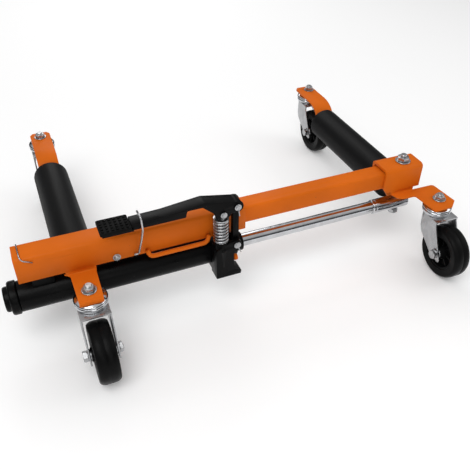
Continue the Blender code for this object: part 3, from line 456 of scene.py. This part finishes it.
def make_caster_hardware(caster):
    body, base = caster + "_swivel", BODY_OF[caster + "_kingpin"]
    pivot = joint_point(caster + "_swivel_turn")
    axle = joint_point(caster + "_wheel_roll")
    low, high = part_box(caster + "_axle")
    fork_low, fork_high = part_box(caster + "_fork")

    bm = bmesh.new()
    place = standing(Vector((0, axle.y, axle.z)), "X")
    rod(bm, WHEEL_BOLT_RADIUS, low.x + 1 * MM, fork_high.x + 0.4 * MM, place)
    threaded(bm, WHEEL_BOLT_RADIUS, fork_high.x, high.x, 1.2 * MM, place)
    hexagon(bm, 7.7 * MM, low.x, fork_low.x - 1.2 * MM, place)
    hexagon(bm, 7.7 * MM, fork_high.x + 1.4 * MM, fork_high.x + 6.2 * MM, place)
    for face in (fork_low.x - 1.3 * MM, fork_high.x + 0.3 * MM):
        rod(bm, 8.9 * MM, face, face + 1 * MM, place, 40, 0.25 * MM)
    piece(caster + "_wheel_bolt", bm, "zinc_plate", body, caster + "_axle")

    pin_low, pin_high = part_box(caster + "_kingpin")
    cup_low, cup_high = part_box(caster + "_top_cup")
    place = standing(Vector((pivot.x, pivot.y, 0)), "Z")
    top = cup_high.z + 3.8 * MM
    bm = bmesh.new()
    rod(bm, KINGPIN_RADIUS, pin_low.z + 1 * MM, top, place)
    rod(bm, 8.9 * MM, pin_low.z, pin_low.z + 4.8 * MM, place, 40, 1.2 * MM)
    rod(bm, 11.9 * MM, top + 0.3 * MM, top + 1.5 * MM, place, 48, 0.3 * MM)
    hexagon(bm, 8.3 * MM, top + 1.6 * MM, top + 7 * MM, place)
    turn(bm, rounded([(5 * MM, top + 6.8 * MM, 0), (8 * MM, top + 6.8 * MM, 0),
                      (7.6 * MM, top + 9 * MM, 1 * MM), (5.2 * MM, top + 9.2 * MM, 0.5 * MM)]), place, 40)
    threaded(bm, 5.6 * MM, top, pin_high.z, 1.3 * MM, place)
    piece(caster + "_kingpin_bolt", bm, "zinc_plate", base, caster + "_kingpin")

    bm = bmesh.new()
    reach = (cup_high.x - cup_low.x) / 2
    turn(bm, rounded([
        (CUP_BORE, cup_high.z, 0.5 * MM), (reach - 7.8 * MM, cup_high.z, 0.6 * MM),
        (reach - 7.8 * MM, cup_low.z + 7.4 * MM, 1.5 * MM),
        (reach - 1.6 * MM, cup_low.z + 4.4 * MM, 2 * MM),
        (reach, cup_low.z + 1 * MM, 2 * MM), (reach - 3 * MM, cup_low.z, 1.2 * MM),
        (CUP_BORE, cup_low.z + 0.4 * MM, 0.5 * MM),
    ], 5), place, 72)
    piece(caster + "_race_cup", bm, "chrome", base, caster + "_top_cup")

    bm = bmesh.new()
    crown = cup_low.z - 8.8 * MM
    turn(bm, rounded([
        (RACE_SEAT, crown + 0.1 * MM, 0), (24.6 * MM, crown + 0.1 * MM, 0.8 * MM),
        (RACE_RADIUS, crown + 2.4 * MM, 2 * MM), (RACE_RADIUS, crown + 6 * MM, 2 * MM),
        (24.4 * MM, crown + 8.2 * MM, 1 * MM), (RACE_SEAT, crown + 8.4 * MM, 0),
    ], 4), place, 72)
    piece(caster + "_lower_race", bm, "chrome", body)


# ---------------------------------------------------------------- rollers

def make_roller(side):
    low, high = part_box(side + "_roller")
    centre = joint_point(side + "_roller_turn")
    place = standing(Vector((centre.x, 0, centre.z)), "Y")
    radius = (high.z - low.z) / 2
    bm = bmesh.new()
    turn(bm, rounded([
        (radius - 3 * MM, low.y, 0.4 * MM), (radius - 0.2 * MM, low.y, 1.6 * MM),
        (radius, low.y + 6 * MM, 2 * MM), (radius, high.y - 6 * MM, 2 * MM),
        (radius - 0.2 * MM, high.y, 1.6 * MM), (radius - 3 * MM, high.y, 0.4 * MM),
    ]), place, 96)
    piece(side + "_roller_sleeve", bm, "roller_black", side + "_roller", side + "_roller")

    bm = bmesh.new()
    inner = radius - 3.2 * MM
    for face, inward in ((low.y + 1 * MM, 1), (high.y - 1 * MM, -1)):
        turn(bm, rounded([
            (SPOOL_BORE, face + inward * 0.4 * MM, 0.3 * MM), (13 * MM, face, 0.6 * MM),
            (14.5 * MM, face + inward * 2.5 * MM, 1 * MM),
            (inner - 5 * MM, face + inward * 2.5 * MM, 1 * MM),
            (inner - 3 * MM, face + inward * 0.6 * MM, 1 * MM), (inner, face + inward * 0.6 * MM, 0.5 * MM),
            (inner, face + inward * 9 * MM, 0), (SPOOL_BORE, face + inward * 9 * MM, 0),
        ]), place, 64)
    turn(bm, [(SPOOL_BORE, low.y + 9 * MM), (12 * MM, low.y + 9 * MM), (12 * MM, high.y - 9 * MM),
              (SPOOL_BORE, high.y - 9 * MM)], place, 48)
    piece(side + "_roller_spool", bm, "hub_plastic", side + "_roller", side + "_roller_core")

    axle_low, axle_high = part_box(side + "_roller_axle")
    lug_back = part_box(side + "_lug")[1].y
    strip_back = axle_high.y - 7.3 * MM
    lug_front = axle_low.y + 6.4 * MM
    bm = bmesh.new()
    rod(bm, 7.9 * MM, lug_front - 1 * MM, strip_back, place, 40)
    hexagon(bm, 10.8 * MM, axle_low.y, lug_front - 0.2 * MM, place)
    threaded(bm, 7.7 * MM, strip_back - 1 * MM, axle_high.y, 1.5 * MM, place, 40)
    hexagon(bm, 10.3 * MM, strip_back + 1.6 * MM, strip_back + 5.2 * MM, place)
    rod(bm, 11.9 * MM, strip_back + 0.3 * MM, strip_back + 1.5 * MM, place, 48, 0.3 * MM)
    turn(bm, rounded([(8 * MM, lug_back + 0.3 * MM, 0), (11.4 * MM, lug_back + 0.3 * MM, 1 * MM),
                      (11.4 * MM, low.y - 0.7 * MM, 1 * MM), (8 * MM, low.y - 0.7 * MM, 0)]), place, 48)
    piece(side + "_axle_bolt", bm, "zinc_plate", BODY_OF[side + "_roller_axle"], side + "_roller_axle")


# ---------------------------------------------------------------- ram

def make_ram():
    low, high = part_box("cylinder_tube")
    centre = (low + high) / 2
    place = standing(Vector((0, centre.y, centre.z)), "X")
    radius = (high.z - low.z) / 2
    bore = radius - 5 * MM
    bm = bmesh.new()
    turn(bm, rounded([(bore, low.x, 0.5 * MM), (radius, low.x, 1.2 * MM), (radius, high.x, 1.2 * MM),
                      (bore, high.x, 0.5 * MM)]), place, 80)
    piece("ram_cylinder", bm, "black_paint", "chassis", "cylinder_tube")

    cap_low, cap_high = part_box("cylinder_end_cap")
    spigot = bore - 0.4 * MM
    bm = bmesh.new()
    turn(bm, [(0, cap_low.x)] + rounded([
        (9 * MM, cap_low.x, 0), (18.8 * MM, cap_low.x, 1.5 * MM), (20.4 * MM, cap_low.x + 2.5 * MM, 1 * MM),
        (20.4 * MM, cap_low.x + 8 * MM, 0.8 * MM), (25.5 * MM, cap_low.x + 8 * MM, 1.6 * MM),
        (27.4 * MM, cap_low.x + 10.5 * MM, 1.5 * MM), (27.4 * MM, low.x - 1.4 * MM, 1.2 * MM),
        (25 * MM, low.x - 0.3 * MM, 0.5 * MM), (spigot, low.x - 0.3 * MM, 0), (spigot, cap_high.x, 0),
    ]) + [(0, cap_high.x)], place, 72)
    piece("ram_end_cap", bm, "black_paint", "chassis", "cylinder_end_cap")

    gland_low, gland_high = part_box("gland_nut")
    rod_low, rod_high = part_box("piston_rod")
    rod_radius = (rod_high.z - rod_low.z) / 2
    gland_bore = rod_radius + 0.3 * MM
    bm = bmesh.new()
    turn(bm, rounded([
        (gland_bore, gland_low.x, 0), (spigot, gland_low.x, 0), (spigot, high.x + 0.3 * MM, 0),
        (21.9 * MM, high.x + 0.3 * MM, 1 * MM), (21.9 * MM, high.x + 6.6 * MM, 1 * MM),
        (17 * MM, high.x + 7.4 * MM, 0.8 * MM), (17 * MM, gland_high.x, 1.6 * MM),
        (14.5 * MM, gland_high.x, 0.5 * MM), (14 * MM, gland_high.x - 1.5 * MM, 0.5 * MM),
        (gland_bore, gland_high.x - 1.5 * MM, 0.5 * MM),
    ]), place, 72)
    piece("ram_gland", bm, "black_paint", "chassis", "gland_nut")

    bm = bmesh.new()
    lip = rod_radius + 0.1 * MM
    seal_back = gland_high.x - 1.4 * MM
    turn(bm, rounded([(lip, seal_back, 0.2 * MM), (lip + 3 * MM, seal_back, 0.2 * MM),
                      (lip + 2.5 * MM, gland_high.x - 0.2 * MM, 0.5 * MM),
                      (lip + 0.5 * MM, gland_high.x, 0.4 * MM)]), place, 48)
    piece("rod_wiper_seal", bm, "pad_rubber", "chassis")

    bm = bmesh.new()
    rod(bm, rod_radius, rod_low.x, rod_high.x, place, 56, 0.8 * MM)
    piece("ram_rod", bm, "chrome", "slider", "piston_rod")

    end_low, end_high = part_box("rod_end_sleeve")
    sleeve = (end_high.z - end_low.z) / 2
    outer = [(sleeve - 1.6 * MM, end_low.x, 0.6 * MM), (sleeve, end_low.x + 1.6 * MM, 0.6 * MM),
             (sleeve, end_low.x + 5 * MM, 0.2 * MM), (sleeve - 0.7 * MM, end_low.x + 5.6 * MM, 0.2 * MM),
             (sleeve - 0.7 * MM, end_low.x + 7.6 * MM, 0.2 * MM), (sleeve, end_low.x + 8.2 * MM, 0.2 * MM),
             (sleeve, end_high.x - 2 * MM, 0.8 * MM), (sleeve - 2 * MM, end_high.x, 0.8 * MM)]
    bm = bmesh.new()
    seat = rod_radius + 0.2 * MM
    turn(bm, rounded([(seat, end_low.x + 0.2 * MM, 0)] + outer + [
        (2 * MM, end_high.x, 0), (2 * MM, rod_high.x + 0.3 * MM, 0), (seat, rod_high.x + 0.3 * MM, 0)]),
        place, 56)
    piece("ram_rod_end", bm, "chrome", "slider", "rod_end_sleeve")


# ---------------------------------------------------------------- frame hardware

def make_corner_bolt():
    low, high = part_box("corner_bolt")
    centre = (low + high) / 2
    bracket_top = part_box("corner_bracket")[1].z
    place = standing(Vector((centre.x, centre.y, 0)), "Z")
    bm = bmesh.new()
    rod(bm, 5.9 * MM, low.z + 6 * MM, bracket_top + 1 * MM, place)
    threaded(bm, 5.8 * MM, bracket_top, high.z, 1.5 * MM, place)
    rod(bm, 13.8 * MM, bracket_top + 0.3 * MM, bracket_top + 2 * MM, place, 56, 0.3 * MM)
    hexagon(bm, 9.4 * MM, bracket_top + 2.1 * MM, bracket_top + 9.6 * MM, place)
    rod_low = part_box("rod_end_sleeve")[0].z
    hexagon(bm, 8.6 * MM, rod_low - 8.7 * MM, rod_low - 0.5 * MM, place)
    rod(bm, 5.6 * MM, low.z, rod_low, place, 32, 1 * MM)
    piece("corner_bolt_set", bm, "zinc_plate", "slider", "corner_bolt")


def make_side_screw():
    low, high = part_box("side_screw")
    centre = (low + high) / 2
    place = standing(Vector((centre.x, high.y, centre.z)), "Y") @ Matrix.Rotation(math.pi, 4, "X")
    depth = high.y - low.y
    bm = bmesh.new()
    turn(bm, [(0, 0)] + rounded([
        (6.4 * MM, 0, 0.2 * MM), (6.4 * MM, 1 * MM, 0.4 * MM), (5 * MM, 1.1 * MM, 0.2 * MM),
        (4.6 * MM, depth * 0.75, 1 * MM), (2.8 * MM, depth, 1 * MM), (1.9 * MM, depth, 0.1 * MM),
        (1.6 * MM, depth - 1.2 * MM, 0.1 * MM),
    ]) + [(0, depth - 1.2 * MM)], place, 40)
    piece("channel_side_screw", bm, "zinc_plate", "chassis", "side_screw")


def weld_bead(name, path, body, radius=1.5 * MM):
    """A run of weld between points, with the ripples of its laps."""
    points = []
    for first, second in zip(path, path[1:]):
        first, second = Vector(first), Vector(second)
        count = max(2, int((second - first).length / (0.5 * MM)))
        points += [first.lerp(second, step / count) for step in range(count)]
    points.append(Vector(path[-1]))
    laps = len(points) / 6
    bm = bmesh.new()
    tube(bm, points, lambda share: radius * (0.82 + 0.18 * abs(math.sin(math.pi * laps * share))), 10)
    piece(name, bm, "orange_paint", body)


def make_welds():
    """The beads along the tops of the lugs, where they meet the frame members."""
    for side, middle, half in (("left", 22 * MM, 20 * MM), ("right", 30 * MM, 26 * MM)):
        low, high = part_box(side + "_lug")
        bead_y, level = low.y + 1 * MM, high.z - 5.4 * MM
        weld_bead(side + "_lug_weld", [(low.x + middle - half, bead_y, level),
                                       (low.x + middle + half, bead_y, level)], BODY_OF[side + "_lug"])


# ---------------------------------------------------------------- pump

def make_spring():
    low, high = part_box("return_spring")
    centre = (low + high) / 2
    wire, turns = SPRING_WIRE, SPRING_TURNS
    reach = (high.x - low.x) / 2 - wire
    bottom, top = low.z + wire, high.z - wire
    points = []
    count = int(turns * SPRING_STEPS)
    for step in range(count + 1):
        share = step / count
        angle = 2 * math.pi * turns * share
        rise = min(1.0, max(0.0, (share * turns - 0.6) / (turns - 1.2)))
        points.append((centre.x + reach * math.cos(angle), centre.y + reach * math.sin(angle),
                       bottom + (top - bottom) * rise * 0.94 + (top - bottom) * 0.06 * share))
    bm = bmesh.new()
    tube(bm, points, wire, 12)
    spring = piece("plunger_spring", bm, "spring_steel", None, "return_spring")
    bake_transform(spring)


def make_pad():
    """The rubber tread: a rounded block with a raised rim and rows of round studs."""
    low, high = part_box("pedal_pad")
    deck = high.z - 1.6 * MM
    bm = bmesh.new()
    outline = rounded([(low.x, low.y, 3 * MM), (high.x, low.y, 3 * MM), (high.x, high.y, 3 * MM),
                       (low.x, high.y, 3 * MM)], 5)
    centre = Vector(((low.x + high.x) / 2, (low.y + high.y) / 2))
    loops = []
    for inset, level in ((0.6, low.z), (0, low.z + 0.8 * MM), (0, deck - 0.4 * MM), (0.5, deck + 0.3 * MM),
                         (1.6, deck + 0.3 * MM), (2.0, deck - 0.3 * MM)):
        loop = []
        for point in outline:
            out = point - centre
            shrunk = Vector((out.x * (1 - inset * MM / (high.x - centre.x)),
                             out.y * (1 - inset * MM / (high.y - centre.y))))
            loop.append((*(centre + shrunk), level))
        loops.append(loop)
    skin(bm, loops)
    columns, rows = 6, 5
    for column in range(columns):
        for row in range(rows):
            x = low.x + 5 * MM + (high.x - low.x - 10 * MM) * column / (columns - 1)
            y = low.y + 5 * MM + (high.y - low.y - 10 * MM) * row / (rows - 1)
            stud = standing(Vector((x, y, deck - 1 * MM)), "Z")
            height = high.z - deck + 0.9 * MM
            turn(bm, [(0, 0), (2.3 * MM, 0), (2.1 * MM, 2.1 * MM), (1.6 * MM, height), (0, height)],
                 stud, 16)
    piece("pedal_tread_pad", bm, "pad_rubber", "pedal", "pedal_pad")


def make_pump_details():
    """The washer under the spring and the release valve's fluted knob."""
    low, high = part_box("return_spring")
    centre = (low + high) / 2
    place = standing(Vector((centre.x, centre.y, 0)), "Z")
    bm = bmesh.new()
    turn(bm, rounded([(8.5 * MM, low.z - 1.2 * MM, 0.2 * MM), (12.6 * MM, low.z - 1.2 * MM, 0.3 * MM),
                      (12.6 * MM, low.z - 0.2 * MM, 0.3 * MM),
                      (8.5 * MM, low.z - 0.2 * MM, 0.2 * MM)]), place, 56)
    piece("spring_washer", bm, "zinc_plate", "chassis")

    knob_low, knob_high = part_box("release_valve")
    knob = (knob_low + knob_high) / 2
    place = standing(Vector((knob_low.x, knob.y, knob.z)), "X")
    length = knob_high.x - knob_low.x
    flutes, steps = 12, 96
    loops = []
    for radius, height, wave in ((3.4, 0, 0), (3.4, 2.5 * MM, 0), (4.9, 2.6 * MM, 0.25),
                                 (5.25, 3.4 * MM, 0.25), (5.25, length - 0.8 * MM, 0.25),
                                 (4.7, length, 0.2)):
        loop = []
        for i in range(steps):
            angle = 2 * math.pi * i / steps
            reach = (radius + wave * math.cos(flutes * angle)) * MM
            loop.append(place @ Vector((reach * math.cos(angle), reach * math.sin(angle), height)))
        loops.append(loop)
    bm = bmesh.new()
    skin(bm, loops)
    piece("valve_knob", bm, "orange_paint", "valve", "release_valve")


# ---------------------------------------------------------------- stage

def make_stage():
    bm = bmesh.new()
    bmesh.ops.create_grid(bm, x_segments=1, y_segments=1, size=FLOOR_HALF)
    mesh = bpy.data.meshes.new("floor")
    bm.to_mesh(mesh)
    bm.free()
    floor = bpy.data.objects.new("floor", mesh)
    bpy.context.scene.collection.objects.link(floor)
    recipe = Recipe("pale_floor", (0.93, 0.93, 0.93), 0.8)
    recipe.shader.inputs["Emission Color"].default_value = (1, 1, 1, 1)
    recipe.shader.inputs["Emission Strength"].default_value = 0.1
    mesh.materials.append(recipe.material)

    world = bpy.data.worlds.new("studio")
    world.use_nodes = True
    tree = world.node_tree
    direction = tree.nodes.new("ShaderNodeTexCoord").outputs["Generated"]
    split = tree.nodes.new("ShaderNodeSeparateXYZ")
    tree.links.new(direction, split.inputs["Vector"])
    ramp = tree.nodes.new("ShaderNodeValToRGB")
    ramp.color_ramp.elements[0].position = SKY_DARK_TO
    ramp.color_ramp.elements[0].color = (0.08, 0.08, 0.085, 1)
    ramp.color_ramp.elements[1].position = SKY_WHITE_FROM
    ramp.color_ramp.elements[1].color = (1, 1, 1, 1)
    tree.links.new(split.outputs["Z"], ramp.inputs["Fac"])
    tree.links.new(ramp.outputs["Color"], tree.nodes["Background"].inputs["Color"])
    tree.nodes["Background"].inputs["Strength"].default_value = SKY_STRENGTH
    bpy.context.scene.world = world

    lamps = (
        ("key", (-1.0, -1.1, 2.1), 1.5, 26), ("fill", (1.9, -0.7, 1.2), 1.2, 7),
        ("back", (0.3, 2.0, 1.6), 1.4, 15), ("front_strip", (-0.2, -1.9, 0.7), 0.8, 3),
    )
    for name, position, size, power in lamps:
        light = bpy.data.lights.new(name, "AREA")
        light.size = size
        light.energy = power
        lamp = bpy.data.objects.new(name, light)
        lamp.location = position
        lamp.rotation_mode = "QUATERNION"
        lamp.rotation_quaternion = (Vector((0, 0, 0.1)) - lamp.location).to_track_quat("-Z", "Y")
        bpy.context.scene.collection.objects.link(lamp)


def make_camera():
    """A camera that looks down at the dolly, turned by its yaw, pitch and roll."""
    yaw, pitch, roll = CAMERA_YAW, CAMERA_PITCH, CAMERA_ROLL
    forward = Vector((math.sin(yaw) * math.cos(pitch), math.cos(yaw) * math.cos(pitch), -math.sin(pitch)))
    level = Vector((math.cos(yaw), -math.sin(yaw), 0))
    upward = level.cross(forward)
    right = level * math.cos(roll) + upward * math.sin(roll)
    top = upward * math.cos(roll) - level * math.sin(roll)
    data = bpy.data.cameras.new("camera")
    data.sensor_width = 36
    data.lens = CAMERA_LENS
    camera = bpy.data.objects.new("camera", data)
    turn_matrix = Matrix((right, top, -forward)).transposed().to_4x4()
    camera.matrix_world = Matrix.Translation(CAMERA_PLACE) @ turn_matrix
    bpy.context.scene.collection.objects.link(camera)
    bpy.context.scene.camera = camera


make_camera()
make_stage()
dress_cad_nodes()
for caster in CASTERS:
    make_wheel(caster)
    make_caster_hardware(caster)
for side in ("left", "right"):
    make_roller(side)
make_ram()
make_corner_bolt()
make_side_screw()
make_welds()
make_spring()
make_pad()
make_pump_details()
bpy.context.scene.view_settings.view_transform = "Standard"
